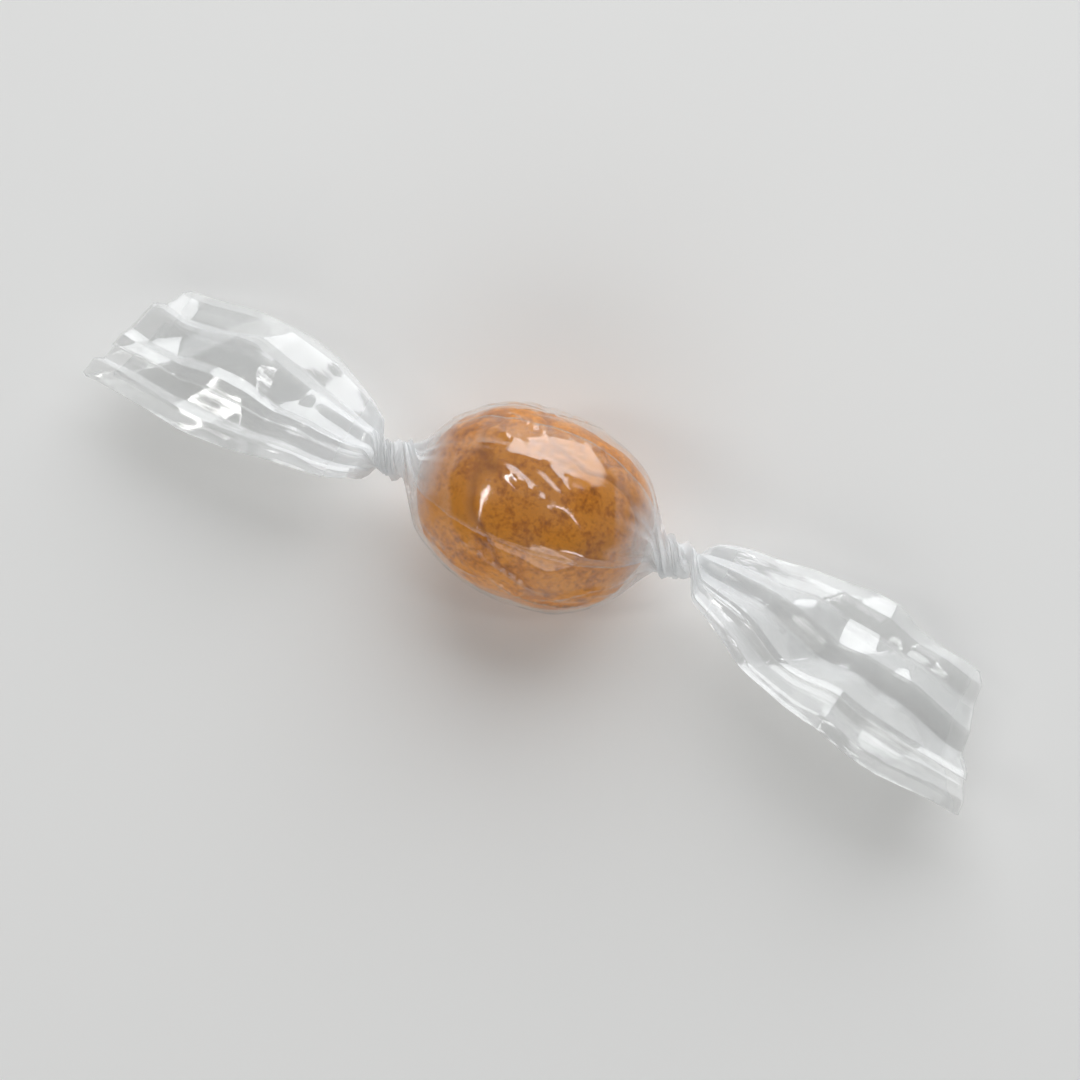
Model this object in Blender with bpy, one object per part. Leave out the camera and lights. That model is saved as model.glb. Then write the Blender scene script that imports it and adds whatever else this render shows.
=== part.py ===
"""A tamarind candy in a clear twist wrapper.

The candy is a soft brown pellet. The wrapper is one rectangle of clear film, rolled round the
pellet so that its long edges lap, gathered and twisted at both ends of the pellet, and spread
beyond each twist into a pleated fan.

Metres, +Z up. The origin is the middle of the small flat spot that the sweet lies on, and +X runs
along the pellet.
"""

import math

import bpy
import numpy as np

MM = 0.001

# The pellet: half of its length, width and height.
CANDY_HALF = np.array([9.3, 7.6, 7.2]) * MM
SQUARENESS = 2.15  # exponent of the superellipsoid; 2 is an ellipsoid
DENTS = 8
DENT_DEPTHS = (0.03, 0.075)  # share of the radius
DENT_WIDTHS = (0.35, 0.6)  # radians
DENT_SEED = 4

# The film: a solid stand-in for a sheet 0.03 mm thick.
FILM_WALL = 0.4 * MM
FILM_CLEARANCE = 0.3 * MM
FLAT_DEPTH = 0.45 * MM  # how far the round underside is pressed flat

# Distances along the wrapper's spine, from the middle of the pellet.
LEAVES_CANDY = 7.6 * MM
NECK_START = 10.6 * MM
NECK_END = 11.8 * MM
TWIST_START = 8.0 * MM
TWIST_END = 14.4 * MM
BEND_LENGTH = 9.0 * MM
NECK_RADIUS = 1.45 * MM
NECK_SLOPE = -0.35

# The pleats, which run from the pellet through the neck to the cut end.
PLEAT_CORNERS = 16  # ridges and valleys round the wrapper
POINTS_PER_FACET = 4
PLEATS_FADE = 7.0 * MM  # how far the pleats run back over the pellet
SHOULDER_PLEAT = 0.5 * MM
NECK_PLEAT = 0.6 * MM
PLEAT_SEED = 11
FILM_SPANS = 0.5  # the taut film follows this share of the pellet's dents

# The lap of the film's long edges, cut as a slit along the pellet.
LAP_ANGLE = math.radians(122)
LAP_LENGTH = 11.0 * MM
LAP_GAP = 0.35 * MM

# One tail each way. end is the spine distance of the cut end, and bulges widen the two sides in
# the middle. The pleats' corners lie at nodes, as shares of the half width. Their heights change
# from root, near the neck, to mouth, at the cut end.
TAILS = {
    1: {
        "end": 39.0 * MM,
        "half_width": 6.8 * MM,
        "opening": 7.5 * MM,
        "bulges": (0.2 * MM, 1.1 * MM),
        "yaw": math.radians(-14),
        "droop": math.radians(-8),
        "twist": math.radians(332),
        "slant": -0.30,
        "curl": 0.9 * MM,
        "nodes": np.array([1, 0.72, 0.5, 0.14, -0.06, -0.44, -0.62, -0.86, -1]),
        "root": np.array([0, 0.5, -0.5, 0.9, -0.7, 0.7, -0.2, 0.4, 0]) * MM,
        "mouth": np.array([0, 1.0, -0.1, 0.25, -1.0, 0.35, 0.1, 0.7, 0]) * MM,
    },
    -1: {
        "end": 35.5 * MM,
        "half_width": 6.0 * MM,
        "opening": 5.0 * MM,
        "bulges": (0.9 * MM, 0.0 * MM),
        "yaw": math.radians(-10),
        "droop": math.radians(-9),
        "twist": math.radians(380),
        "slant": 0.20,
        "curl": -0.6 * MM,
        "nodes": np.array([1, 0.84, 0.5, 0.3, -0.1, -0.24, -0.6, -0.78, -1]),
        "root": np.array([0, 0.5, -0.7, 0.6, -0.3, 0.6, -0.6, 0.3, 0]) * MM,
        "mouth": np.array([0, 0.1, -0.5, 1.0, -0.1, 0.1, -0.9, 0.2, 0]) * MM,
    },
}
FAN_GAP = 0.32 * MM  # half of the space between the tail's two layers
FAN_BLEND = 3.6 * MM  # length over which the rope opens into a fan

# Stations along the spine, in each of its stretches.
BODY_STATIONS = 12
NECK_STATIONS = 21
FAN_STATIONS = 10

CANDY_CENTRE_HEIGHT = CANDY_HALF[2] + FILM_CLEARANCE + FILM_WALL - FLAT_DEPTH


def smooth(value):
    """0 below 0, 1 above 1, and a smooth step between."""
    value = np.clip(value, 0.0, 1.0)
    return value * value * (3 - 2 * value)


def new_material(name, colour, roughness, alpha=1.0):
    material = bpy.data.materials.new(name)
    material.use_nodes = True
    shader = material.node_tree.nodes["Principled BSDF"]
    shader.inputs["Base Color"].default_value = (*colour, 1.0)
    shader.inputs["Roughness"].default_value = roughness
    shader.inputs["Alpha"].default_value = alpha
    return material


# --- The pellet -------------------------------------------------------------------------------


def dented(directions):
    """The share of the radius that is left in each direction, with shallow dents from handling."""
    rng = np.random.default_rng(DENT_SEED)
    share = np.ones(len(directions))
    for _ in range(DENTS):
        centre = rng.normal(size=3)
        centre /= np.linalg.norm(centre)
        depth = rng.uniform(*DENT_DEPTHS)
        width = rng.uniform(*DENT_WIDTHS)
        angle = np.arccos(np.clip(directions @ centre, -1, 1))
        share -= depth * np.exp(-((angle / width) ** 2))
    return share


def make_pellet(name, segments, rings, grow, floor):
    """A pellet whose surface stands grow outside the candy's, pressed flat at the height floor."""
    bpy.ops.mesh.primitive_uv_sphere_add(segments=segments, ring_count=rings, radius=1)
    pellet = bpy.context.object
    pellet.name = name
    pellet.location.z = CANDY_CENTRE_HEIGHT
    # The sphere's poles are turned onto the long axis.
    around = np.array([vertex.co[:] for vertex in pellet.data.vertices])[:, [2, 0, 1]]
    around /= np.linalg.norm(around, axis=1)[:, None]
    powers = np.abs(around / CANDY_HALF) ** SQUARENESS
    radius = powers.sum(axis=1) ** (-1 / SQUARENESS) * dented(around) + grow
    points = around * radius[:, None]
    points[:, 2] = np.maximum(points[:, 2], floor - CANDY_CENTRE_HEIGHT)
    pellet.data.vertices.foreach_set("co", points.astype(np.float32).ravel())
    pellet.data.update()
    return pellet


# --- The film ---------------------------------------------------------------------------------


def spine():
    """The wrapper's centre line as a table: distances, points and directions."""
    reach = {side: tail["end"] + 2 * MM for side, tail in TAILS.items()}
    distance = np.linspace(-reach[-1], reach[1], 1601)
    yaw = np.zeros_like(distance)
    pitch = np.zeros_like(distance)
    for side, tail in TAILS.items():
        turned = smooth((side * distance - NECK_START) / BEND_LENGTH)
        yaw += turned * tail["yaw"]
        pitch += side * turned * tail["droop"]
    heading = np.stack(
        [np.cos(yaw) * np.cos(pitch), np.sin(yaw) * np.cos(pitch), np.sin(pitch)], axis=1
    )
    steps = (heading[1:] + heading[:-1]) / 2 * np.diff(distance)[:, None]
    points = np.concatenate([np.zeros((1, 3)), np.cumsum(steps, axis=0)])
    middle = [np.interp(0, distance, points[:, axis]) for axis in range(3)]
    points += np.array([0, 0, CANDY_CENTRE_HEIGHT]) - middle
    return distance, points, heading


def body_size(distance):
    """Half width and half height of the film's cone and rope, before pleats."""
    half = CANDY_HALF + FILM_CLEARANCE + FILM_WALL
    at = min(distance, LEAVES_CANDY) / half[0]
    share = (1 - at**SQUARENESS) ** (1 / SQUARENESS)
    if distance <= LEAVES_CANDY:
        return half[1:] * share
    # A cubic from the pellet's shoulder to the neck, with the slope of each.
    slope = -(at ** (SQUARENESS - 1)) / half[0] * share ** (1 - SQUARENESS)
    span = NECK_START - LEAVES_CANDY
    h = min((distance - LEAVES_CANDY) / span, 1)
    return (
        (2 * h**3 - 3 * h**2 + 1) * half[1:] * share
        + (h**3 - 2 * h**2 + h) * span * slope * half[1:]
        + (3 * h**2 - 2 * h**3) * NECK_RADIUS
        + (h**3 - h**2) * span * NECK_SLOPE
    )


def between_corners(values):
    """Values at the pleats' corners, and evenly between them, once round the wrapper."""
    corners = np.arange(PLEAT_CORNERS + 1)
    places = np.arange(PLEAT_CORNERS * POINTS_PER_FACET) / POINTS_PER_FACET
    return np.interp(places, corners, values)


def pleat_corners():
    """The angle of each corner round the film, and how high its ridge stands, from 0 to 1."""
    rng = np.random.default_rng(PLEAT_SEED)
    spacing = rng.uniform(0.7, 1.3, PLEAT_CORNERS)
    angles = np.concatenate([[0], np.cumsum(spacing)])
    # The folds at the sides of the fans are corners 0 and 8, half a turn apart.
    half = PLEAT_CORNERS // 2
    angles[: half + 1] *= math.pi / angles[half]
    angles[half:] = math.pi + (angles[half:] - angles[half]) * math.pi / (
        angles[-1] - angles[half]
    )
    heights = np.where(np.arange(PLEAT_CORNERS) % 2 == 0, rng.uniform(0.6, 1, PLEAT_CORNERS), 0)
    return angles, np.append(heights, heights[0])


def rope_section(side, distance, angles, heights):
    """The section of the body, cone and rope: a superellipse with ridges standing on it."""
    half = body_size(distance)
    around = between_corners(angles)
    heights = between_corners(heights)
    gathered = smooth((distance - NECK_START + PLEATS_FADE) / PLEATS_FADE)
    at_neck = smooth((distance - LEAVES_CANDY) / (NECK_START - LEAVES_CANDY))
    pleat = gathered * ((1 - at_neck) * SHOULDER_PLEAT + at_neck * NECK_PLEAT)
    direction = np.stack([np.cos(around), np.sin(around)], axis=1)
    power = 2 / SQUARENESS + (1 - 2 / SQUARENESS) * at_neck
    section = np.sign(direction) * np.abs(direction) ** power * half
    places = np.column_stack([np.full(len(section), side * distance), section])
    dents = 1 - dented(places / np.linalg.norm(places, axis=1)[:, None])
    section *= 1 - (FILM_SPANS * (1 - at_neck) * dents)[:, None]
    # In the neck the valleys between the ridges sink as far as the ridges stand.
    return section + direction * (pleat * (heights - 0.5 * at_neck))[:, None]


def fan_section(distance, tail):
    """The section of a fan: two layers of film over one row of pleats, joined at the sides."""
    length = tail["end"] - NECK_END
    along = np.clip((distance - NECK_END) / length, 0, 1)
    opened = 1 - math.exp(-(along * length) / tail["opening"])
    width = NECK_RADIUS + (tail["half_width"] - NECK_RADIUS) * opened
    bulge = np.where(tail["nodes"] > 0, *tail["bulges"]) * math.sin(math.pi * along)
    across = tail["nodes"] * (width + bulge)
    depth = tail["root"] + (tail["mouth"] - tail["root"]) * along
    middle = depth + tail["curl"] * along * tail["nodes"] ** 2
    gap = FAN_GAP * (0.8 + 0.7 * along) * (1 - tail["nodes"] ** 4)
    upper = np.stack([across, middle + gap], axis=1)
    lower = np.stack([across, middle - gap], axis=1)
    ring = np.concatenate([upper, lower[-2::-1]])
    return np.stack([between_corners(ring[:, 0]), between_corners(ring[:, 1])], axis=1)


def film_rings():
    """The film's outer surface: one ring of points for each station along the spine."""
    distances, spine_points, headings = spine()
    angles, heights = pleat_corners()
    body = np.linspace(-LEAVES_CANDY, LEAVES_CANDY, BODY_STATIONS + 1)
    stations = list(body)
    for side, tail in TAILS.items():
        neck = np.linspace(LEAVES_CANDY, TWIST_END, NECK_STATIONS + 1)[1:]
        fan = np.linspace(TWIST_END, tail["end"], FAN_STATIONS + 1)[1:]
        stations += [side * distance for distance in (*neck, *fan)]
    rings = []
    for station in sorted(stations):
        side = 1 if station >= 0 else -1
        tail = TAILS[side]
        distance = abs(station)
        opened = smooth((distance - NECK_END + 0.6 * MM) / FAN_BLEND)
        section = (1 - opened) * rope_section(side, distance, angles, heights)
        section += opened * fan_section(distance, tail)
        turned = smooth((distance - TWIST_START) / (TWIST_END - TWIST_START))
        roll = side * tail["twist"] * turned
        centre, forward = (
            np.array([np.interp(station, distances, table[:, axis]) for axis in range(3)])
            for table in (spine_points, headings)
        )
        across = np.cross([0, 0, 1], forward)
        across /= np.linalg.norm(across)
        upward = np.cross(forward, across)
        leans = tail["slant"] * max(distance - TWIST_END, 0) / (tail["end"] - TWIST_END)
        sideways = section[:, 0] * math.cos(roll) - section[:, 1] * math.sin(roll)
        raised = section[:, 0] * math.sin(roll) + section[:, 1] * math.cos(roll)
        ring = centre + np.outer(sideways, across) + np.outer(raised, upward)
        ring += np.outer(section[:, 0] * leans, forward)
        ring[:, 2] = np.maximum(ring[:, 2], 0)
        rings.append(ring)
    return rings


def loft(name, rings):
    """A closed mesh through rings of points, with a flat cap on the first and the last."""
    count = len(rings[0])
    faces = [list(range(count)), [len(rings) * count - 1 - i for i in range(count)]]
    for row in range(len(rings) - 1):
        for i in range(count):
            after = (i + 1) % count
            low, high = row * count, (row + 1) * count
            faces.append([low + i, high + i, high + after, low + after])
    mesh = bpy.data.meshes.new(name)
    mesh.from_pydata(np.concatenate(rings).tolist(), [], faces)
    mesh.update()
    made = bpy.data.objects.new(name, mesh)
    bpy.context.collection.objects.link(made)
    return made


def lap_cutter():
    """A thin bar through the film's wall, where one long edge lies over the other."""
    outward = np.array([0, math.cos(LAP_ANGLE), math.sin(LAP_ANGLE)])
    middle = CANDY_HALF[1] + FILM_CLEARANCE
    bpy.ops.mesh.primitive_cube_add(size=1)
    cutter = bpy.context.object
    cutter.name = "lap_cutter"
    cutter.dimensions = (LAP_LENGTH, 4 * MM, LAP_GAP)
    cutter.rotation_euler.x = LAP_ANGLE
    cutter.location = outward * middle + np.array([0, 0, CANDY_CENTRE_HEIGHT])
    return cutter


def cut(target, cutters, collection):
    for cutter in cutters:
        modifier = target.modifiers.new(cutter.name, "BOOLEAN")
        modifier.operation = "DIFFERENCE"
        modifier.object = cutter
        cutter.hide_render = True
        cutter.display_type = "WIRE"
        for owner in cutter.users_collection:
            owner.objects.unlink(cutter)
        collection.objects.link(cutter)


def main():
    for thing in list(bpy.data.objects):
        bpy.data.objects.remove(thing)
    parts = bpy.data.collections.new("tamarind_candy")
    cutters = bpy.data.collections.new("cutters")
    bpy.context.scene.collection.children.link(parts)
    bpy.context.scene.collection.children.link(cutters)
    layers = bpy.context.view_layer.layer_collection.children
    bpy.context.view_layer.active_layer_collection = layers[parts.name]

    candy = make_pellet("candy", 40, 24, 0.0, FILM_WALL + FILM_CLEARANCE)
    candy.data.materials.append(new_material("tamarind", (0.33, 0.125, 0.025), 0.45))
    candy.data.shade_smooth()

    wrapper = loft("wrapper", film_rings())
    wrapper.data.materials.append(new_material("clear_film", (0.85, 0.86, 0.88), 0.08, 0.35))
    wrapper.data.shade_smooth()
    hollow = make_pellet("pellet_cutter", 32, 18, FILM_CLEARANCE, FILM_WALL)
    cut(wrapper, [hollow, lap_cutter()], cutters)


main()
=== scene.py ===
"""A soft tamarind candy in its clear twist wrapper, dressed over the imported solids.

Metres, +Z up, in the frame of the solids: the origin is the flat spot that the sweet lies on, and
+X runs along the pellet towards the longer fan.
"""

import math

import bpy
import numpy as np
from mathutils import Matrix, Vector
from mathutils.bvhtree import BVHTree


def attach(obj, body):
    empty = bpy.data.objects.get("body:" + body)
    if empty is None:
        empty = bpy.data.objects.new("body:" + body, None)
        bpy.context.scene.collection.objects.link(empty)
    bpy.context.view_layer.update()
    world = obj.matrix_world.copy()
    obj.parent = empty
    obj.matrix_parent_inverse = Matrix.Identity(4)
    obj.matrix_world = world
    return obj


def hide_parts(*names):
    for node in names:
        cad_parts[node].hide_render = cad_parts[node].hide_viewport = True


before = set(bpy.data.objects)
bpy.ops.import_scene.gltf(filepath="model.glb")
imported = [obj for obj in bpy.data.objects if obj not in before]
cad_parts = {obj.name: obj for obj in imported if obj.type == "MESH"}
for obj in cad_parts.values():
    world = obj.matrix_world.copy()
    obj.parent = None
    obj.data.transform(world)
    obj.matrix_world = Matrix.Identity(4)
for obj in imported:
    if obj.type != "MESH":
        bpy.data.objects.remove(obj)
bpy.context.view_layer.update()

MM = 0.001

# ---------------------------------------------------------------------------------------------
# The candy: a pellet of tamarind pulp kneaded with sugar and rolled between the palms. It is
# soft, so it has shallow dents and a flat spot underneath, and its skin is finely grained.
# ---------------------------------------------------------------------------------------------

CANDY_HALF = np.array([9.3, 7.6, 7.2]) * MM
SQUARENESS = 2.15  # the power of the pellet's rounded shape, where 2 is a plain ellipsoid
DENTS = 8
DENT_DEPTHS = (0.03, 0.075)  # shares of the radius
DENT_WIDTHS = (0.35, 0.6)  # angles at the pellet's centre
DENT_SEED = 4
FILM_WALL = 0.4 * MM  # the thickness of the film in the solids
FILM_CLEARANCE = 0.3 * MM  # the gap between the candy and the film in the solids
FLAT_DEPTH = 0.45 * MM
CANDY_CENTRE = np.array([0, 0, CANDY_HALF[2] + FILM_CLEARANCE + FILM_WALL - FLAT_DEPTH])
CANDY_SWELL = 0.22 * MM  # the solids' clearance that the soft paste takes up against the film
CANDY_SEGMENTS = 256
CANDY_RINGS = 160

KNEADING = {
    "Lump Size": 4.2 * MM,
    "Lump Depth": 1.0 * MM,
    "Fold Size": 11.0 * MM,
    "Fold Depth": 0.25 * MM,
    "Grain Size": 0.6 * MM,
    "Grain Depth": 0.08 * MM,
    "Seed": 2.0,
}
FOLD_BREADTH = 0.022  # the share of the noise's range that a kneading fold takes up
HIGH_SKIN = 0.6  # the level of the lumps and the grain that stays where the smooth skin was

CANDY_LIGHT = (0.79, 0.302, 0.020)
CANDY_MID = (0.61, 0.203, 0.008)
CANDY_DARK = (0.27, 0.077, 0.004)
PATCH_SIZE = 4.5 * MM
MOTTLE_SIZE = 0.7 * MM
SPECK_SIZE = 0.35 * MM
PASTE_ROUGHNESS = 0.65  # of the noise behind patches, mottle and specks
PASTE_STOPS = (0.60, 0.84, 1.0)  # where dark, middle and light lie in the blotches
NOISE_RANGE = (0.3, 0.7)  # nearly all that a noise gives lies in it
MOTTLE_SHARE = 0.9
SPECK_LEVELS = (0.32, 0.50)
SPECK_DARKNESS = 0.24
# painted shade: how far the paste's colour darkens towards its dark colour inside the kneading
# folds
FOLD_PAINTED_SHADE = 0.45
PASTE_GLOSS = (0.38, 0.6)  # the skin's roughness over light and dark mottle
PASTE_SHINE = 0.2
GRAIN_BUMP = 0.06 * MM
GRAIN_STRENGTH = 0.6


def smooth(value):
    """0 below 0, 1 above 1, and a smooth step between."""
    value = np.clip(value, 0.0, 1.0)
    return value * value * (3 - 2 * value)


def dented(directions):
    """The share of the pellet's radius that is left in each direction after handling."""
    rng = np.random.default_rng(DENT_SEED)
    share = np.ones(directions.shape[:-1])
    for _ in range(DENTS):
        centre = rng.normal(size=3)
        centre /= np.linalg.norm(centre)
        depth = rng.uniform(*DENT_DEPTHS)
        width = rng.uniform(*DENT_WIDTHS)
        angle = np.arccos(np.clip(directions @ centre, -1, 1))
        share -= depth * np.exp(-((angle / width) ** 2))
    return share


def pellet_radius(directions):
    """The distance from the pellet's centre to its skin in each direction."""
    powers = np.abs(directions / CANDY_HALF) ** SQUARENESS
    radius = powers.sum(axis=-1) ** (-1 / SQUARENESS) * dented(directions)
    return radius + CANDY_SWELL


def add_node(tree, kind, links=(), **settings):
    """A new node with its settings, and its inputs linked or set by number or name."""
    node = tree.nodes.new(kind)
    for name, value in settings.items():
        setattr(node, name, value)
    for place, source in dict(links).items():
        if isinstance(source, bpy.types.NodeSocket):
            tree.links.new(source, node.inputs[place])
        else:
            node.inputs[place].default_value = source
    return node


def maths(tree, operation, *values):
    """The output of a Math node on numbers or sockets."""
    return add_node(tree, "ShaderNodeMath", enumerate(values), operation=operation).outputs[0]


def remapped(tree, value, old, new):
    """A value taken from the old range to the new one, and held at its ends."""
    return add_node(
        tree, "ShaderNodeMapRange", {0: value, 1: old[0], 2: old[1], 3: new[0], 4: new[1]}
    ).outputs[0]


def new_tree(name, values):
    """A Geometry Nodes tree, its group input, and its values by their sockets' identifiers."""
    tree = bpy.data.node_groups.new(name, "GeometryNodeTree")
    tree.is_modifier = True
    for direction in ("INPUT", "OUTPUT"):
        tree.interface.new_socket(
            "Geometry", in_out=direction, socket_type="NodeSocketGeometry"
        )
    settings = {}
    for label, value in values.items():
        socket = tree.interface.new_socket(label, in_out="INPUT", socket_type="NodeSocketFloat")
        socket.default_value = value
        settings[socket.identifier] = value
    return tree, tree.nodes.new("NodeGroupInput"), settings


def finish_tree(tree, geometry, material):
    """The last steps of a tree: real instances, the material and the output."""
    real = add_node(tree, "GeometryNodeRealizeInstances", {0: geometry})
    painted = add_node(tree, "GeometryNodeSetMaterial", {0: real.outputs[0], 2: material})
    add_node(tree, "NodeGroupOutput", {0: painted.outputs[0]})


def pushed(tree, geometry, direction, distance):
    """The geometry with each point moved a distance along a direction of its own."""
    push = add_node(
        tree, "ShaderNodeVectorMath", {0: direction, 3: distance}, operation="SCALE"
    )
    return add_node(
        tree, "GeometryNodeSetPosition", {0: geometry, 3: push.outputs[0]}
    ).outputs[0]


def through_tree(shape, tree, settings):
    """The shape's mesh after a Geometry Nodes tree, with its modifier taken off again."""
    modifier = shape.modifiers.new(tree.name, "NODES")
    modifier.node_group = tree
    for identifier, value in settings.items():
        modifier[identifier] = value
    depsgraph = bpy.context.evaluated_depsgraph_get()
    made = bpy.data.meshes.new_from_object(shape.evaluated_get(depsgraph))
    shape.modifiers.remove(modifier)
    old = shape.data
    shape.data = made
    bpy.data.meshes.remove(old)


def kneaded_paste_tree(material):
    """Lumps, kneading folds and grain, pressed into a smooth skin."""
    tree, group, settings = new_tree("kneaded_paste", KNEADING)
    place = add_node(tree, "GeometryNodeInputPosition").outputs[0]
    normal = add_node(tree, "GeometryNodeInputNormal").outputs[0]

    def noise(size, detail):
        scale = maths(tree, "DIVIDE", 1.0, group.outputs[size])
        inputs = {0: place, 1: group.outputs["Seed"], 2: scale, 3: detail}
        return add_node(tree, "ShaderNodeTexNoise", inputs, noise_dimensions="4D").outputs[0]

    lumps = maths(tree, "SUBTRACT", noise("Lump Size", 1.5), HIGH_SKIN)
    beside = maths(tree, "ABSOLUTE", maths(tree, "SUBTRACT", noise("Fold Size", 2.0), 0.5))
    folds = remapped(tree, beside, (0.0, FOLD_BREADTH), (-1.0, 0.0))
    grain = maths(tree, "SUBTRACT", noise("Grain Size", 3.0), HIGH_SKIN)
    lumps_rise = maths(tree, "MULTIPLY", lumps, group.outputs["Lump Depth"])
    folds_rise = maths(tree, "MULTIPLY", folds, group.outputs["Fold Depth"])
    grain_rise = maths(tree, "MULTIPLY", grain, group.outputs["Grain Depth"])
    rise = maths(tree, "ADD", maths(tree, "ADD", lumps_rise, folds_rise), grain_rise)
    # The folds are marked so that the paste's colour can carry painted shade inside them.
    marked = add_node(
        tree,
        "GeometryNodeStoreNamedAttribute",
        {
            "Geometry": group.outputs["Geometry"],
            "Name": "fold_shade_mask",
            "Value": maths(tree, "MULTIPLY", folds, -1.0),
        },
        data_type="FLOAT",
        domain="POINT",
    )
    finish_tree(tree, pushed(tree, marked.outputs[0], normal, rise), material)
    return tree, settings


def new_material(name):
    """An empty node material, its tree, and its Principled shader."""
    material = bpy.data.materials.new(name)
    material.use_nodes = True
    return material, material.node_tree, material.node_tree.nodes["Principled BSDF"]


def colour_ramp(tree, factor, stops):
    """The colours that a ramp gives to a factor."""
    ramp = tree.nodes.new("ShaderNodeValToRGB")
    elements = ramp.color_ramp.elements
    while len(elements) < len(stops):
        elements.new(0.5)
    for element, (position, colour) in zip(elements, stops):
        element.position = position
        element.color = (*colour, 1.0)
    tree.links.new(factor, ramp.inputs[0])
    return ramp.outputs["Color"]


def tamarind_material():
    """Waxy brown paste: soft patches of light and dark, a fine mottle, painted shade along its
    kneading folds, and a dull gloss.
    """
    material, tree, shader = new_material("tamarind_paste")
    place = add_node(tree, "ShaderNodeTexCoord").outputs["Object"]
    patches, mottle, grain = (
        add_node(
            tree,
            "ShaderNodeTexNoise",
            {"Vector": place, "Scale": 1 / size, "Detail": detail, "Roughness": PASTE_ROUGHNESS},
        ).outputs["Fac"]
        for size, detail in ((PATCH_SIZE, 3.0), (MOTTLE_SIZE, 4.0), (SPECK_SIZE, 2.0))
    )
    blotches = maths(tree, "MULTIPLY_ADD", mottle, MOTTLE_SHARE, patches)
    colours = zip(PASTE_STOPS, (CANDY_DARK, CANDY_MID, CANDY_LIGHT))
    paste = colour_ramp(tree, blotches, list(colours))
    specks = remapped(tree, grain, SPECK_LEVELS, (SPECK_DARKNESS, 0.0))
    fold_shade_mask = add_node(tree, "ShaderNodeAttribute", attribute_name="fold_shade_mask").outputs["Fac"]
    # Painted shade: the paste darkens towards its dark colour inside the sunken kneading folds.
    folds = maths(tree, "MULTIPLY", fold_shade_mask, FOLD_PAINTED_SHADE)
    mixed = add_node(
        tree,
        "ShaderNodeMix",
        {"Factor": maths(tree, "MAXIMUM", specks, folds), "A": paste, "B": (*CANDY_DARK, 1)},
        data_type="RGBA",
        blend_type="MIX",
    )
    tree.links.new(mixed.outputs["Result"], shader.inputs["Base Color"])
    roughness = remapped(tree, mottle, NOISE_RANGE, PASTE_GLOSS)
    tree.links.new(roughness, shader.inputs["Roughness"])
    bump = add_node(
        tree,
        "ShaderNodeBump",
        {"Strength": GRAIN_STRENGTH, "Distance": GRAIN_BUMP, "Height": grain},
    )
    tree.links.new(bump.outputs[0], shader.inputs["Normal"])
    shader.inputs["Specular IOR Level"].default_value = PASTE_SHINE
    return material


bpy.ops.mesh.primitive_uv_sphere_add(
    segments=CANDY_SEGMENTS, ring_count=CANDY_RINGS, radius=1, location=(0, 0, 0)
)
candy = bpy.context.object
candy.name = candy.data.name = "candy_paste"
# The ball's poles are turned to the pellet's two ends.
directions = np.array([vertex.co[:] for vertex in candy.data.vertices])[:, [2, 0, 1]]
directions /= np.linalg.norm(directions, axis=1)[:, None]
skin_points = directions * pellet_radius(directions)[:, None] + CANDY_CENTRE
skin_points[:, 2] = np.maximum(skin_points[:, 2], FILM_WALL + FILM_CLEARANCE - CANDY_SWELL)
candy.data.vertices.foreach_set("co", skin_points.astype(np.float32).ravel())
through_tree(candy, *kneaded_paste_tree(tamarind_material()))
candy.data.shade_smooth()
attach(candy, "root")
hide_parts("candy")

# ---------------------------------------------------------------------------------------------
# The film: one rectangle of clear cellulose film, rolled round the candy so that its long edges
# lap, gathered and twisted at both ends, and spread beyond each twist in a fan. It clings to the
# candy in patches and bridges the dents between them. Nothing is glued.
# ---------------------------------------------------------------------------------------------

# The wrapper's main shape, as in the solids. Distances run along its centre line from the middle.
CONE_START = 7.6 * MM
NECK_START = 10.6 * MM
NECK_END = 11.8 * MM
TWIST_START = 9.5 * MM
TWIST_END = 14.4 * MM
BEND_LENGTH = 9.0 * MM
NECK_RADIUS = 1.45 * MM
NECK_SLOPE = -0.35
PLEAT_CORNERS = 16
PLEAT_SPACINGS = (0.7, 1.3)
RIDGE_HEIGHTS = (0.6, 1)
PLEATS_SINK = 0.5  # the share of its height by which a pleat lies lower in the neck
PLEATS_FADE = 7.0 * MM
SHOULDER_PLEAT = 0.5 * MM
NECK_PLEAT = 0.6 * MM
PLEAT_SEED = 11
FILM_SPANS = 0.5  # the share of a dent's depth that the film bridges
TAILS = {
    1: {
        "end": 39.0 * MM,
        "half_width": 6.8 * MM,
        "opening": 7.5 * MM,
        "bulges": (0.2 * MM, 1.1 * MM),
        "yaw": math.radians(-14),
        "droop": math.radians(-8),
        "twist": math.radians(332),
        "slant": -0.30,
        "curl": 0.9 * MM,
        "nodes": np.array([1, 0.72, 0.5, 0.14, -0.06, -0.44, -0.62, -0.86, -1]),
        "root": np.array([0, 0.5, -0.5, 0.9, -0.7, 0.7, -0.2, 0.4, 0]) * MM,
        "mouth": np.array([0, 1.0, -0.1, 0.25, -1.0, 0.35, 0.1, 0.7, 0]) * MM,
    },
    -1: {
        "end": 35.5 * MM,
        "half_width": 6.0 * MM,
        "opening": 5.0 * MM,
        "bulges": (0.9 * MM, 0.0 * MM),
        "yaw": math.radians(-10),
        "droop": math.radians(-9),
        "twist": math.radians(380),
        "slant": 0.20,
        "curl": -0.6 * MM,
        "nodes": np.array([1, 0.84, 0.5, 0.3, -0.1, -0.24, -0.6, -0.78, -1]),
        "root": np.array([0, 0.5, -0.7, 0.6, -0.3, 0.6, -0.6, 0.3, 0]) * MM,
        "mouth": np.array([0, 0.1, -0.5, 1.0, -0.1, 0.1, -0.9, 0.2, 0]) * MM,
    },
}
FAN_GAP = 0.32 * MM
GAP_AT_ROOT = 0.8  # a share of FAN_GAP, as is what it gains by the mouth
GAP_GAINS = 0.7
FAN_EARLY = 0.6 * MM  # how far before the neck's end the rope starts to spread
FAN_BLEND = 3.6 * MM
SPINE_SPARE = 2 * MM  # how far the centre line runs on past each mouth
SPINE_STEPS = 1601

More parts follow.
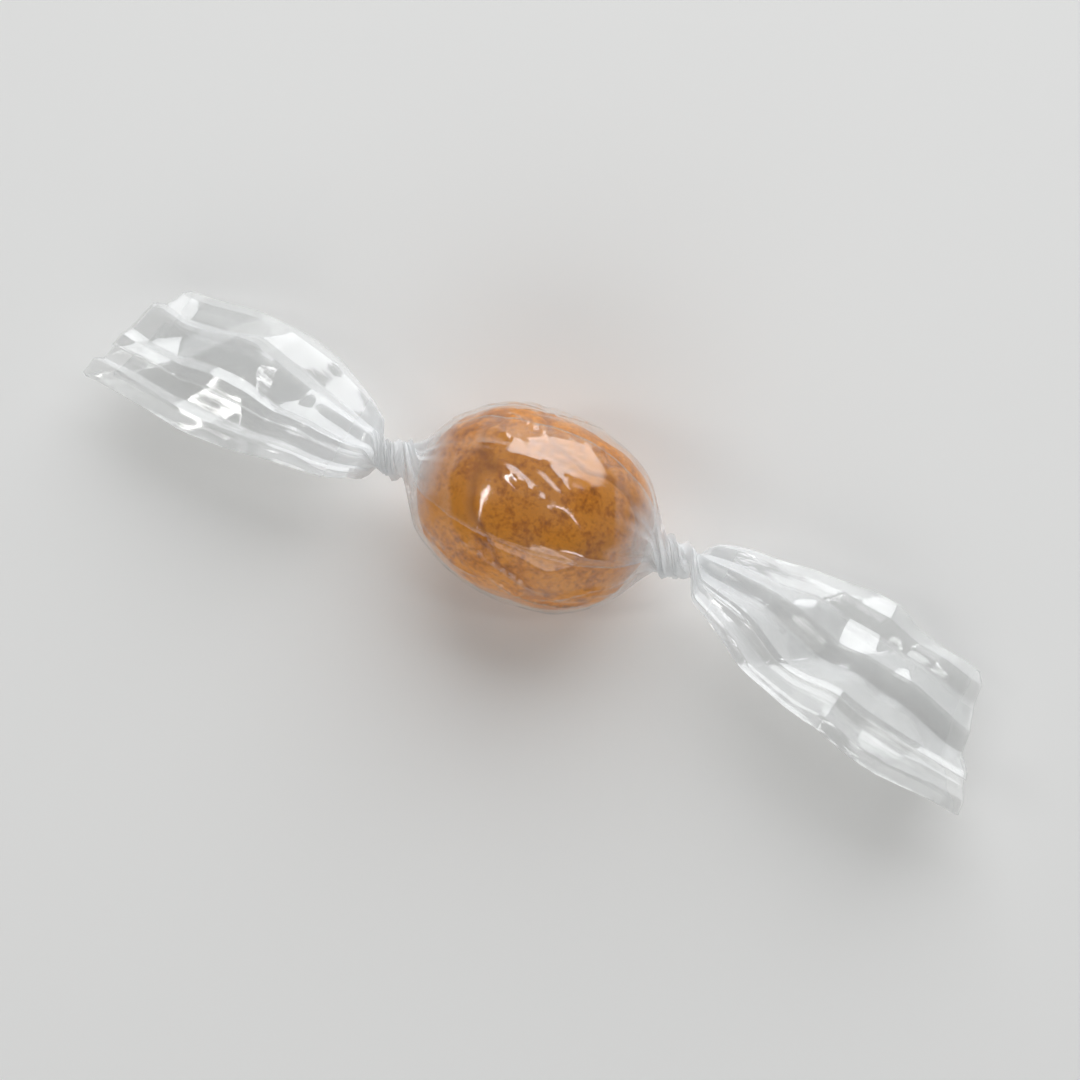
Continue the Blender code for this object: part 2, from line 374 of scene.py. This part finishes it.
# The film as a sheet: its two long edges, and the rows and columns of its mesh.
FILM_THICKNESS = 0.04 * MM
LAP_START = 2.0  # the inner long edge, counted in pleat corners round the film
LAP_END = 21.4  # the outer long edge, a turn and a third further on
LAP_LIFTS = (0.10 * MM, 0.45 * MM)  # how far the lap stands off, at the pellet and at a mouth
COLUMNS_PER_CORNER = 9
BODY_ROWS = 64
NECK_ROWS = 24
FAN_ROW = 0.32 * MM

# How the film lies on the candy.
TOUCHING = 0.06 * MM  # the gap where it clings
WIDEST_GAP = 0.5 * MM  # how far it stands off where its flats meet
LEAVES_PELLET = 9.6 * MM  # the distance along the wrapper where it is clear of the candy
COMES_FREE = (7.3 * MM, 2.3 * MM)  # where it starts to lift off the candy, and over what length
STANDS_CLEAR = 0.6 * MM  # the gap of a full pocket
POCKETS_LOOSEN = 0.22  # how much less the film clings over one
FLATS = 56  # flat patches of tight film over the candy
FLAT_SPREAD = 0.42  # the angle round a flat within which the candy holds it out
FLAT_SLACK = 0.06 * MM  # how far off the candy the loosest flat stands
FLAT_ROUNDING = 0.03 * MM
FLAT_SCATTER = (0.05, 0.4)  # how unevenly they lie, along the candy and round it
FLATS_REACH = 0.97  # how close to the pellet's ends they face
LEAST_SLANT = 0.05  # keeps a flat that faces sideways from counting
FLAT_SEED = 14
SKIN_PROBES = 6000  # directions in which the candy is felt for its flats
PINCHES = 26  # thin folds that stand up over the candy
PINCH_REACH = 6.5 * MM  # how far along the pellet they lie
PINCH_LEAN = 0.28
PINCH_HEIGHTS = (0.10 * MM, 0.26 * MM)
PINCH_HALF_WIDTH = 0.42 * MM
PINCH_HALF_LENGTHS = (2.5 * MM, 6.5 * MM)
PINCH_SEED = 33

# How it is gathered and creased. A pair says where something starts, and over what length it
# grows to the full, and a fade is the length beyond the neck over which it dies away.
WRINKLE_SEED = 21
WRINKLE_SPACING = 0.4  # in pleat corners
NECK_WRINKLE = 0.11 * MM
NECK_WRINKLES_GROW = (4.0 * MM, 6.0 * MM)
NECK_WRINKLES_FADE = 6.0 * MM
FAN_WRINKLE = 0.16 * MM
FAN_WRINKLES_FADE = 8.0 * MM
GATHER_DEPTH = 0.28 * MM  # how far the folds sink into the twisted neck
TUCK_DEPTHS = (0.5, 1)  # shares of it
GATHERS_GROW = (6.5 * MM, 4.0 * MM)
GATHERS_FADE = 2.2 * MM
MILKY_GROWS = (8.0 * MM, 3.0 * MM)
MILKY_FADES = 5.0 * MM
PLEATS_EASED = 0.65  # how far handling has left the pleats in the middle of a fan
MOUTH_PARTS = 0.9  # how much further the loose layers part at the cut ends
LAYERS_UNEVEN = 1.2 * MM  # how far the under layer stops short at a cut end
LAYERS_DIFFER = 0.35  # how much more the upper layer of a fan is creased than the lower one
CREASES_GROW = (TWIST_END, 7.0 * MM)
FOLDS_PER_FAN = 6
FOLD_START = 1.5 * MM  # beyond the twist
FOLD_PLACES = (0.1, 0.9)  # within each fold's share of the fan's length
FOLD_OFFSETS = (-0.7, 0.7)  # in half widths of the fan
FOLD_ANGLES = (18, 78)  # degrees to the fan's length
FOLD_SLOPES = (0.08, 0.20)
FOLD_REACHES = (2.5 * MM, 6.0 * MM)
FOLD_SEED = 5
CRINKLES = {"Facet Size": 8.0 * MM, "Crease Height": 0.18 * MM, "Seed": 3.0}
CRINKLE_MIDDLE = 0.22  # the facets' level that stays where the smooth film was
SHARP_ANGLE = math.radians(24)

# How it looks: the share of light that it mirrors, from head on to a glance.
FILM_TINT = (0.965, 0.975, 0.99)
CLEAR_TINT = (0.985, 0.985, 0.98)
LOOSE_MIRRORS = 0.19
CLINGING_MIRRORS = 0.022
MILKY_MIRRORS = 0.30  # what gathered folds add
GLANCE_MIRRORS = 0.9
GLANCE_POWER = 5.0
LOOSE_METALLIC = 0.35
CLINGING_METALLIC = 0.99
FILM_GLOSS = (0.06, 0.16)
MILKY_SHADOW = 0.3  # the share of its shadow that a milky fold keeps
STREAK_STRETCH = (0.12, 1.0, 1.0)
STREAKS_PER_MM = 1.8
STREAK_BUMP = 0.05 * MM
STREAK_STRENGTH = 0.3
COLUMN_WIDTH = 2.8  # millimetres of film between two pleat corners


def ramped(distance, grows):
    """How far something has grown at a distance along the wrapper, from 0 to 1."""
    start, length = grows
    return smooth((distance - start) / length)


def spine():
    """The wrapper's centre line as a table: distances, points and directions."""
    reach = {side: tail["end"] + SPINE_SPARE for side, tail in TAILS.items()}
    distance = np.linspace(-reach[-1], reach[1], SPINE_STEPS)
    yaw = np.zeros_like(distance)
    pitch = np.zeros_like(distance)
    for side, tail in TAILS.items():
        turned = ramped(side * distance, (NECK_START, BEND_LENGTH))
        yaw += turned * tail["yaw"]
        pitch += side * turned * tail["droop"]
    heading = np.stack(
        [np.cos(yaw) * np.cos(pitch), np.sin(yaw) * np.cos(pitch), np.sin(pitch)], axis=1
    )
    steps = (heading[1:] + heading[:-1]) / 2 * np.diff(distance)[:, None]
    points = np.concatenate([np.zeros((1, 3)), np.cumsum(steps, axis=0)])
    middle = [np.interp(0, distance, points[:, axis]) for axis in range(3)]
    points += CANDY_CENTRE - middle
    return distance, points, heading


def directions_at(row, centre_line):
    """The centre line's point at a row, and the ways across and up from it and along it."""
    distances, spine_points, headings = centre_line
    centre, forward = (
        np.array([np.interp(row, distances, table[:, axis]) for axis in range(3)])
        for table in (spine_points, headings)
    )
    across = np.cross([0, 0, 1], forward)
    across /= np.linalg.norm(across)
    return centre, across, np.cross(forward, across), forward


def body_size(distance):
    """Half width and half height of the film's cone and rope, before pleats."""
    half = CANDY_HALF + FILM_CLEARANCE + FILM_WALL
    at = min(distance, CONE_START) / half[0]
    share = (1 - at**SQUARENESS) ** (1 / SQUARENESS)
    if distance <= CONE_START:
        return half[1:] * share
    slope = -(at ** (SQUARENESS - 1)) / half[0] * share ** (1 - SQUARENESS)
    span = NECK_START - CONE_START
    h = min((distance - CONE_START) / span, 1)
    return (
        (2 * h**3 - 3 * h**2 + 1) * half[1:] * share
        + (h**3 - 2 * h**2 + h) * span * slope * half[1:]
        + (3 * h**2 - 2 * h**3) * NECK_RADIUS
        + (h**3 - h**2) * span * NECK_SLOPE
    )


def between_corners(values, places):
    """Values at the pleats' corners, and evenly between them, at places round the film."""
    return np.interp(places % PLEAT_CORNERS, np.arange(PLEAT_CORNERS + 1), values)


def pleat_corners():
    """The angle of each corner round the film, and how high its ridge stands, from 0 to 1."""
    rng = np.random.default_rng(PLEAT_SEED)
    spacing = rng.uniform(*PLEAT_SPACINGS, PLEAT_CORNERS)
    angles = np.concatenate([[0], np.cumsum(spacing)])
    half = PLEAT_CORNERS // 2
    angles[: half + 1] *= math.pi / angles[half]
    angles[half:] = math.pi + (angles[half:] - angles[half]) * math.pi / (
        angles[-1] - angles[half]
    )
    ridges = rng.uniform(*RIDGE_HEIGHTS, PLEAT_CORNERS)
    heights = np.where(np.arange(PLEAT_CORNERS) % 2 == 0, ridges, 0)
    return angles, np.append(heights, heights[0])


def rope_section(side, distance, around, heights):
    """The section of the body, cone and rope: a superellipse with ridges standing on it."""
    half = body_size(distance)
    gathered = smooth((distance - NECK_START + PLEATS_FADE) / PLEATS_FADE)
    at_neck = smooth((distance - CONE_START) / (NECK_START - CONE_START))
    pleat = gathered * ((1 - at_neck) * SHOULDER_PLEAT + at_neck * NECK_PLEAT)
    direction = np.stack([np.cos(around), np.sin(around)], axis=1)
    power = 2 / SQUARENESS + (1 - 2 / SQUARENESS) * at_neck
    section = np.sign(direction) * np.abs(direction) ** power * half
    places = np.column_stack([np.full(len(section), side * distance), section])
    dents = 1 - dented(places / np.linalg.norm(places, axis=1)[:, None])
    section *= 1 - (FILM_SPANS * (1 - at_neck) * dents)[:, None]
    return section + direction * (pleat * (heights - PLEATS_SINK * at_neck))[:, None]


def fan_section(distance, tail, places):
    """The section of a fan: two layers of film over one row of pleats, joined at the sides."""
    length = tail["end"] - NECK_END
    along = np.clip((distance - NECK_END) / length, 0, 1)
    opened = 1 - math.exp(-(along * length) / tail["opening"])
    width = NECK_RADIUS + (tail["half_width"] - NECK_RADIUS) * opened
    bulge = np.where(tail["nodes"] > 0, *tail["bulges"]) * math.sin(math.pi * along)
    across = tail["nodes"] * (width + bulge)
    eased = PLEATS_EASED + (1 - PLEATS_EASED) * smooth((along - 0.5) / 0.5)
    depth = (tail["root"] + (tail["mouth"] - tail["root"]) * along) * eased
    middle = depth + tail["curl"] * along * tail["nodes"] ** 2
    parted = 1 + MOUTH_PARTS * along**2
    gap = FAN_GAP * (GAP_AT_ROOT + GAP_GAINS * along) * parted * (1 - tail["nodes"] ** 4)
    upper = np.stack([across, middle + gap], axis=1)
    lower = np.stack([across, middle - gap], axis=1)
    ring = np.concatenate([upper, lower[-2::-1]])
    return np.stack([between_corners(ring[:, axis], places) for axis in range(2)], axis=1)


def candy_skin(ways):
    """The distance from the pellet's centre to the finished paste in each direction."""
    mesh = candy.data
    tree = BVHTree.FromPolygons(
        [vertex.co for vertex in mesh.vertices], [face.vertices for face in mesh.polygons]
    )
    centre = Vector(CANDY_CENTRE)
    reach = 2 * CANDY_HALF[0]
    listed = [Vector(way) for way in ways.reshape(-1, 3)]
    found = [tree.ray_cast(centre + way * reach, -way)[3] for way in listed]
    return (reach - np.array(found)).reshape(ways.shape[:-1])


def flats_over_candy():
    """The flat patches that film pulled tight makes: which way each faces, and how far out."""
    rng = np.random.default_rng(FLAT_SEED)
    number = np.arange(FLATS) + 0.5
    along = 1 - 2 * number / FLATS + rng.uniform(-FLAT_SCATTER[0], FLAT_SCATTER[0], FLATS)
    along = np.clip(along, -FLATS_REACH, FLATS_REACH)
    golden = math.pi * (3 - math.sqrt(5))
    turn = number * golden + rng.uniform(-FLAT_SCATTER[1], FLAT_SCATTER[1], FLATS)
    across = np.sqrt(1 - along**2)
    facing = np.stack([along, across * np.cos(turn), across * np.sin(turn)], axis=1)
    probes = rng.normal(size=(SKIN_PROBES, 3))
    probes /= np.linalg.norm(probes, axis=1)[:, None]
    skin = probes * candy_skin(probes)[:, None]
    under_flat = probes @ facing.T > math.cos(FLAT_SPREAD)
    reach = np.where(under_flat, skin @ facing.T, 0).max(axis=0)
    reach += TOUCHING + rng.uniform(0, FLAT_SLACK, FLATS)
    facing = np.vstack([facing, (0, 0, -1)])
    return facing, np.append(reach, CANDY_CENTRE[2] - FILM_THICKNESS)


def tight_radius(ways, facing, reach):
    """The distance from the pellet's centre to the nearest flat in each direction."""
    slant = np.maximum(ways @ facing.T, LEAST_SLANT)
    distances = reach / slant
    nearest = distances.min(axis=-1)
    spread = np.exp((nearest[..., None] - distances) / FLAT_ROUNDING).sum(axis=-1)
    return nearest - FLAT_ROUNDING * np.log(spread)


def pinched(rows, around):
    """How far the thin folds stand up over the candy, by rows along it and angles round it."""
    rng = np.random.default_rng(PINCH_SEED)
    raised = np.zeros((len(rows), len(around)))
    for _ in range(PINCHES):
        row, turn = rng.uniform(-PINCH_REACH, PINCH_REACH), rng.uniform(0, 2 * math.pi)
        lean = rng.normal(0, PINCH_LEAN)
        height = rng.uniform(*PINCH_HEIGHTS)
        half_length = rng.uniform(*PINCH_HALF_LENGTHS)
        ahead = (rows - row)[:, None]
        aside = ((around - turn + math.pi) % (2 * math.pi) - math.pi)[None, :] * CANDY_HALF[1]
        beside = np.abs(aside * math.cos(lean) - ahead * math.sin(lean)) / PINCH_HALF_WIDTH
        along = np.abs(ahead * math.cos(lean) + aside * math.sin(lean)) / half_length
        raised = np.maximum(raised, height * np.maximum(1 - beside, 0) * smooth(2 - 2 * along))
    return raised


def handling_folds(side, tail):
    """The straight folds across a fan: for each its place, heading, slope and reach."""
    rng = np.random.default_rng(FOLD_SEED + side)
    folds = []
    for number in range(FOLDS_PER_FAN):
        share = (number + rng.uniform(*FOLD_PLACES)) / FOLDS_PER_FAN
        place = TWIST_END + FOLD_START + share * (tail["end"] - TWIST_END)
        offset = rng.uniform(*FOLD_OFFSETS) * tail["half_width"]
        angle = math.radians(rng.uniform(*FOLD_ANGLES)) * rng.choice((-1, 1))
        slope = rng.uniform(*FOLD_SLOPES) * (1 if number % 2 else -1)
        folds.append((place, offset, angle, slope, rng.uniform(*FOLD_REACHES)))
    return folds


def folded(distance, across, folds):
    """How far the film stands up at a place in a fan: a bent flat on each side of every fold."""
    raised = np.zeros_like(across)
    for place, offset, angle, slope, reach in folds:
        beside = np.abs(
            (across - offset) * math.cos(angle) - (distance - place) * math.sin(angle)
        )
        raised += slope * (np.minimum(beside, reach) - reach / 2)
    return raised


def sheet_grid():
    """The rows along the wrapper and the columns round it, from long edge to long edge."""
    rows = list(np.linspace(-CONE_START, CONE_START, BODY_ROWS + 1))
    for side, tail in TAILS.items():
        neck = np.linspace(CONE_START, TWIST_END, NECK_ROWS + 1)[1:]
        steps = round((tail["end"] - TWIST_END) / FAN_ROW)
        fan = np.linspace(TWIST_END, tail["end"], steps + 1)[1:]
        rows += [side * distance for distance in (*neck, *fan)]
    steps = round((LAP_END - LAP_START) * COLUMNS_PER_CORNER)
    return np.array(sorted(rows)), LAP_START + np.arange(steps + 1) / COLUMNS_PER_CORNER


def wrinkles_and_tucks(columns):
    """The uneven rise of the film's wrinkles at each column, and how far its tucks sink."""
    rng = np.random.default_rng(WRINKLE_SEED)
    knots = np.arange(0, math.ceil(LAP_END) + 1, WRINKLE_SPACING)
    wrinkles = rng.uniform(-1, 1, len(knots))
    tucks = np.where(np.arange(len(knots)) % 2, rng.uniform(*TUCK_DEPTHS, len(knots)), 0)
    return np.interp(columns, knots, wrinkles), np.interp(columns, knots, tucks)


def drawn_tight(points, rows, around, stands):
    """The points with the film over the candy drawn tight, and how closely it clings there."""
    from_centre = points - CANDY_CENTRE
    length = np.linalg.norm(from_centre, axis=2)
    ways = from_centre / length[..., None]
    over_pellet = np.abs(rows) < LEAVES_PELLET
    even_skin = pellet_radius(ways)
    skin = even_skin.copy()
    skin[over_pellet] = candy_skin(ways[over_pellet])
    gap = tight_radius(ways, *flats_over_candy()) - even_skin
    gap = np.where(gap > 0, WIDEST_GAP * (1 - np.exp(-gap / WIDEST_GAP)), gap)
    tight = np.maximum(even_skin + gap, skin + TOUCHING)
    tight += stands + pinched(rows, around)
    free = ramped(np.abs(rows)[:, None], COMES_FREE)
    radius = np.maximum((1 - free) * tight + free * length, skin + TOUCHING)
    over_pellet = over_pellet[:, None]
    drawn = np.where(over_pellet[..., None], CANDY_CENTRE + ways * radius[..., None], points)
    drawn[..., 2] = np.maximum(drawn[..., 2], FILM_THICKNESS)
    stands_off = smooth((radius - skin) / STANDS_CLEAR)
    return drawn, np.where(over_pellet, (1 - POCKETS_LOOSEN * stands_off) * (1 - free), 0)


def film_points(rows, columns):
    """The film's points and, at each, the way that it may be creased, how closely it clings to
    the candy, and how milky its gathers are."""
    centre_line = spine()
    angles, heights = pleat_corners()
    around = between_corners(angles, columns)
    ridge = between_corners(heights, columns)
    wrinkles, tucks = wrinkles_and_tucks(columns)
    folds = {side: handling_folds(side, tail) for side, tail in TAILS.items()}
    layer = np.where(columns % PLEAT_CORNERS < PLEAT_CORNERS / 2, 1, -1)  # 1 above, -1 below
    lapped = smooth(columns - LAP_START - PLEAT_CORNERS + 1)
    outward = np.stack([np.cos(around), np.sin(around)], axis=1)
    points = np.zeros((len(rows), len(columns), 3))
    lift = np.zeros_like(points)
    stands = np.zeros(points.shape[:2])
    milky = np.zeros(points.shape[:2])
    for number, row in enumerate(rows):
        side = 1 if row >= 0 else -1
        tail = TAILS[side]
        distance = abs(row)
        beyond = max(distance - NECK_END, 0)
        opened = smooth((distance - NECK_END + FAN_EARLY) / FAN_BLEND)
        past = np.clip((distance - NECK_END) / (tail["end"] - NECK_END), 0, 1)
        section = (1 - opened) * rope_section(side, distance, around, ridge)
        section += opened * fan_section(distance, tail, columns)

        near_neck = ramped(distance, NECK_WRINKLES_GROW) * math.exp(-beyond / NECK_WRINKLES_FADE)
        near_root = opened * math.exp(-beyond / FAN_WRINKLES_FADE)
        tucked = ramped(distance, GATHERS_GROW) * math.exp(-beyond / GATHERS_FADE)
        lap = LAP_LIFTS[0] + (LAP_LIFTS[1] - LAP_LIFTS[0]) * past
        stands[number] = (NECK_WRINKLE * near_neck + FAN_WRINKLE * near_root) * wrinkles
        stands[number] += lap * lapped - GATHER_DEPTH * tucked * tucks
        milky[number] = ramped(distance, MILKY_GROWS) * math.exp(-beyond / MILKY_FADES)
        section = section + outward * stands[number][:, None]

        creased = opened * ramped(distance, CREASES_GROW)
        inside_fan = np.maximum(
            1 - (section[:, 0] / (tail["half_width"] + max(tail["bulges"]))) ** 2, 0
        )
        layers = 1 + LAYERS_DIFFER * layer * inside_fan
        section[:, 1] += creased * layers * folded(distance, section[:, 0], folds[side])

        turned = smooth((distance - TWIST_START) / (TWIST_END - TWIST_START))
        roll = side * tail["twist"] * turned
        sideways = section[:, 0] * math.cos(roll) - section[:, 1] * math.sin(roll)
        raised = section[:, 0] * math.sin(roll) + section[:, 1] * math.cos(roll)
        centre, across, upward, forward = directions_at(row, centre_line)
        leans = tail["slant"] * max(distance - TWIST_END, 0) / (tail["end"] - TWIST_END)
        uneven = LAYERS_UNEVEN * past**2 * (1 - layer) / 2 * inside_fan
        points[number] = centre + np.outer(sideways, across) + np.outer(raised, upward)
        points[number] += np.outer(section[:, 0] * leans - side * uneven, forward)
        lift[number] = creased * (math.cos(roll) * upward - math.sin(roll) * across)
    points, cling = drawn_tight(points, rows, around, stands)
    return points, lift, cling, milky


def crinkled_film_tree(material):
    """Flat facets with sharp creases between them, raised along each point's own lift."""
    tree, group, settings = new_tree("crinkled_film", CRINKLES)
    place = add_node(tree, "GeometryNodeInputPosition").outputs[0]
    lift = add_node(
        tree, "GeometryNodeInputNamedAttribute", {0: "lift"}, data_type="FLOAT_VECTOR"
    ).outputs["Attribute"]
    scale = maths(tree, "DIVIDE", 1.0, group.outputs["Facet Size"])
    scaled = add_node(tree, "ShaderNodeVectorMath", {0: place, 3: scale}, operation="SCALE")
    shift = add_node(tree, "ShaderNodeCombineXYZ", {2: group.outputs["Seed"]})
    shifted = add_node(
        tree, "ShaderNodeVectorMath", {0: scaled.outputs[0], 1: shift.outputs[0]}, operation="ADD"
    )
    facets = add_node(
        tree,
        "ShaderNodeTexVoronoi",
        {"Vector": shifted.outputs[0], "Scale": 1.0, "Randomness": 1.0},
        voronoi_dimensions="3D",
        feature="DISTANCE_TO_EDGE",
    ).outputs["Distance"]
    centred = maths(tree, "SUBTRACT", facets, CRINKLE_MIDDLE)
    height = maths(tree, "MULTIPLY", centred, group.outputs["Crease Height"])
    finish_tree(tree, pushed(tree, group.outputs["Geometry"], lift, height), material)
    return tree, settings


def film_material():
    """Clear glossy film: it mirrors a little head on and a lot at a glance, and is faintly milky
    where it stands off what it wraps, and milkier where it is gathered."""
    material, tree, shader = new_material("clear_film")
    shader.inputs["Base Color"].default_value = (*FILM_TINT, 1)
    cling = add_node(tree, "ShaderNodeAttribute", attribute_name="cling").outputs["Fac"]
    milky = add_node(tree, "ShaderNodeAttribute", attribute_name="gathered").outputs["Fac"]
    streaks_at = add_node(tree, "ShaderNodeUVMap", uv_map="film_mm")
    stretched = add_node(
        tree, "ShaderNodeMapping", {"Vector": streaks_at.outputs[0], "Scale": STREAK_STRETCH}
    )
    streaks = add_node(
        tree,
        "ShaderNodeTexNoise",
        {
            "Vector": stretched.outputs[0],
            "Scale": STREAKS_PER_MM,
            "Detail": 1.5,
            "Roughness": 0.6,
        },
        noise_dimensions="2D",
    ).outputs["Fac"]
    bump = add_node(
        tree,
        "ShaderNodeBump",
        {"Strength": STREAK_STRENGTH, "Distance": STREAK_BUMP, "Height": streaks},
    ).outputs[0]
    tree.links.new(bump, shader.inputs["Normal"])
    roughness = remapped(tree, streaks, NOISE_RANGE, FILM_GLOSS)
    tree.links.new(roughness, shader.inputs["Roughness"])
    sheer = remapped(tree, cling, (0.0, 1.0), (LOOSE_METALLIC, CLINGING_METALLIC))
    metallic = remapped(tree, milky, (0.0, 1.0), (sheer, 0.0))
    tree.links.new(metallic, shader.inputs["Metallic"])

    facing = add_node(tree, "ShaderNodeLayerWeight", {0: 0.5, 1: bump}).outputs["Facing"]
    glance = maths(tree, "POWER", facing, GLANCE_POWER)
    loose = remapped(tree, cling, (0.0, 1.0), (LOOSE_MIRRORS, CLINGING_MIRRORS))
    head_on = maths(tree, "MULTIPLY_ADD", milky, MILKY_MIRRORS, loose)
    mirrored = remapped(tree, glance, (0.0, 1.0), (head_on, GLANCE_MIRRORS))
    # The milky folds pass on much of the light that they scatter, so their shadows are faint.
    in_shadow = add_node(tree, "ShaderNodeLightPath").outputs["Is Shadow Ray"]
    milky_shadow = maths(tree, "MULTIPLY", milky, in_shadow)
    blocks = remapped(tree, milky_shadow, (0.0, 1.0), (1.0, MILKY_SHADOW))
    covers = maths(tree, "MULTIPLY", mirrored, blocks)
    clear = add_node(tree, "ShaderNodeBsdfTransparent", {0: (*CLEAR_TINT, 1)})
    mix = add_node(
        tree, "ShaderNodeMixShader", {0: covers, 1: clear.outputs[0], 2: shader.outputs[0]}
    )
    tree.links.new(mix.outputs[0], tree.nodes["Material Output"].inputs["Surface"])
    return material


def sheet_mesh(rows, columns):
    """The flat sheet of film with its points in place, its marks for the looks, and its map."""
    points, lift, cling, milky = film_points(rows, columns)
    tall, wide = len(rows), len(columns)
    corner = np.arange((tall - 1) * wide).reshape(tall - 1, wide)[:, :-1].ravel()
    faces = np.stack([corner, corner + wide, corner + wide + 1, corner + 1], axis=1)
    mesh = bpy.data.meshes.new("film")
    mesh.from_pydata(points.reshape(-1, 3).tolist(), [], faces.tolist())
    mesh.attributes.new("lift", "FLOAT_VECTOR", "POINT").data.foreach_set("vector", lift.ravel())
    mesh.attributes.new("cling", "FLOAT", "POINT").data.foreach_set("value", cling.ravel())
    mesh.attributes.new("gathered", "FLOAT", "POINT").data.foreach_set("value", milky.ravel())
    along, across = np.broadcast_arrays(rows[:, None] / MM, columns[None, :] * COLUMN_WIDTH)
    film_mm = np.stack([along, across], axis=2).reshape(-1, 2)
    mesh.uv_layers.new(name="film_mm").data.foreach_set("uv", film_mm[faces.ravel()].ravel())
    return mesh


def sharpen_pleats(mesh, rows, columns):
    """Marks the edges along the pleats' corners beyond the neck as sharp, besides the folds."""
    mesh.set_sharp_from_angle(angle=SHARP_ANGLE)
    edges = np.zeros(2 * len(mesh.edges), dtype=np.int32)
    mesh.edges.foreach_get("vertices", edges)
    edge_rows, edge_columns = np.divmod(edges.reshape(-1, 2), len(columns))
    lengthwise = edge_columns[:, 0] == edge_columns[:, 1]
    on_corner = edge_columns[:, 0] % COLUMNS_PER_CORNER == 0
    in_fan = np.abs(rows[edge_rows]).min(axis=1) > NECK_START
    sharp = np.zeros(len(mesh.edges), dtype=bool)
    sharp_edge = mesh.attributes["sharp_edge"].data
    sharp_edge.foreach_get("value", sharp)
    sharp_edge.foreach_set("value", sharp | (lengthwise & on_corner & in_fan))


rows, columns = sheet_grid()
film = bpy.data.objects.new("film", sheet_mesh(rows, columns))
bpy.context.scene.collection.objects.link(film)
through_tree(film, *crinkled_film_tree(film_material()))
film.data.name = "film"
film.data.shade_smooth()
sharpen_pleats(film.data, rows, columns)
wall = film.modifiers.new("thickness", "SOLIDIFY")
wall.thickness = FILM_THICKNESS
wall.offset = 0
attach(film, "root")
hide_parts("wrapper")

# ---------------------------------------------------------------------------------------------
# The studio: a plain pale floor, a large softbox behind, a low fill in front, a small window and
# a strip for the glints, and pale walls under a dim ceiling, so that the film mirrors light at
# its edges and stays clear head on. The camera looks almost straight down.
# ---------------------------------------------------------------------------------------------

FLOOR_SIZE = 1.2
FLOOR_COLOUR = (0.86, 0.86, 0.85)
FLOOR_ROUGHNESS = 0.9
WALL_LIGHT = 0.68
SKY_LIGHT = 0.11
WALL_HEIGHTS = (0.05, 0.45)  # where the walls' light starts to fade, and where the ceiling starts
ROOM_COLOUR = (0.97, 0.985, 1.0)
CAMERA_AZIMUTH = math.radians(-70)
CAMERA_ELEVATION = math.radians(80)
CAMERA_DISTANCE = 0.42
CAMERA_LENS = 178.0
TARGET = Vector((0.0012, -0.002, 0.006))
FILM_LAYERS = 32  # how many of them a ray may pass through
LIGHT_BOUNCES = 6
LIGHTS = (  # name, azimuth, elevation, distance, size, power and colour
    ("softbox", 95, 38, 0.5, (0.6, 0.58), 2.55, (0.98, 0.99, 1.0)),
    ("fill", -80, 32, 0.6, (0.6, 0.3), 0.9, (1.0, 0.99, 0.97)),
    ("window", -150, 52, 0.5, (0.06, 0.16), 0.24, (1.0, 0.985, 0.96)),
    ("strip", 10, 64, 0.5, (0.03, 0.16), 0.09, (1.0, 1.0, 1.0)),
)


def towards(azimuth, elevation):
    """The way to something at an azimuth and an elevation, in radians."""
    return Vector(
        (
            math.cos(elevation) * math.cos(azimuth),
            math.cos(elevation) * math.sin(azimuth),
            math.sin(elevation),
        )
    )


def aimed(thing, way, distance):
    """Places a lamp or the camera at a distance from the target, looking back at it."""
    thing.location = TARGET + way * distance
    thing.rotation_euler = (TARGET - thing.location).to_track_quat("-Z", "Y").to_euler()
    bpy.context.scene.collection.objects.link(thing)


bpy.ops.mesh.primitive_plane_add(size=FLOOR_SIZE, location=(0, 0, 0))
floor = bpy.context.object
floor.name = "floor"
floor_material, _, floor_shader = new_material("floor_paper")
floor_shader.inputs["Base Color"].default_value = (*FLOOR_COLOUR, 1)
floor_shader.inputs["Roughness"].default_value = FLOOR_ROUGHNESS
floor.data.materials.append(floor_material)

for name, azimuth, elevation, distance, size, power, colour in LIGHTS:
    lamp = bpy.data.lights.new(name, "AREA")
    lamp.shape = "RECTANGLE"
    lamp.size, lamp.size_y = size
    lamp.energy = power
    lamp.color = colour
    way = towards(math.radians(azimuth), math.radians(elevation))
    aimed(bpy.data.objects.new(name, lamp), way, distance)

room = bpy.data.worlds.new("studio")
bpy.context.scene.world = room
room.use_nodes = True
room_light = room.node_tree.nodes["Background"]
room_light.inputs[0].default_value = (*ROOM_COLOUR, 1)
look_way = add_node(room.node_tree, "ShaderNodeTexCoord").outputs["Generated"]
height = add_node(room.node_tree, "ShaderNodeSeparateXYZ", {0: look_way}).outputs["Z"]
walls = remapped(room.node_tree, height, WALL_HEIGHTS, (WALL_LIGHT, SKY_LIGHT))
room.node_tree.links.new(walls, room_light.inputs[1])

camera_data = bpy.data.cameras.new("camera")
camera_data.lens = CAMERA_LENS
camera = bpy.data.objects.new("camera", camera_data)
aimed(camera, towards(CAMERA_AZIMUTH, CAMERA_ELEVATION), CAMERA_DISTANCE)
bpy.context.scene.camera = camera

bpy.context.scene.view_settings.view_transform = "Standard"
bpy.context.scene.cycles.transparent_max_bounces = FILM_LAYERS
bpy.context.scene.cycles.max_bounces = LIGHT_BOUNCES
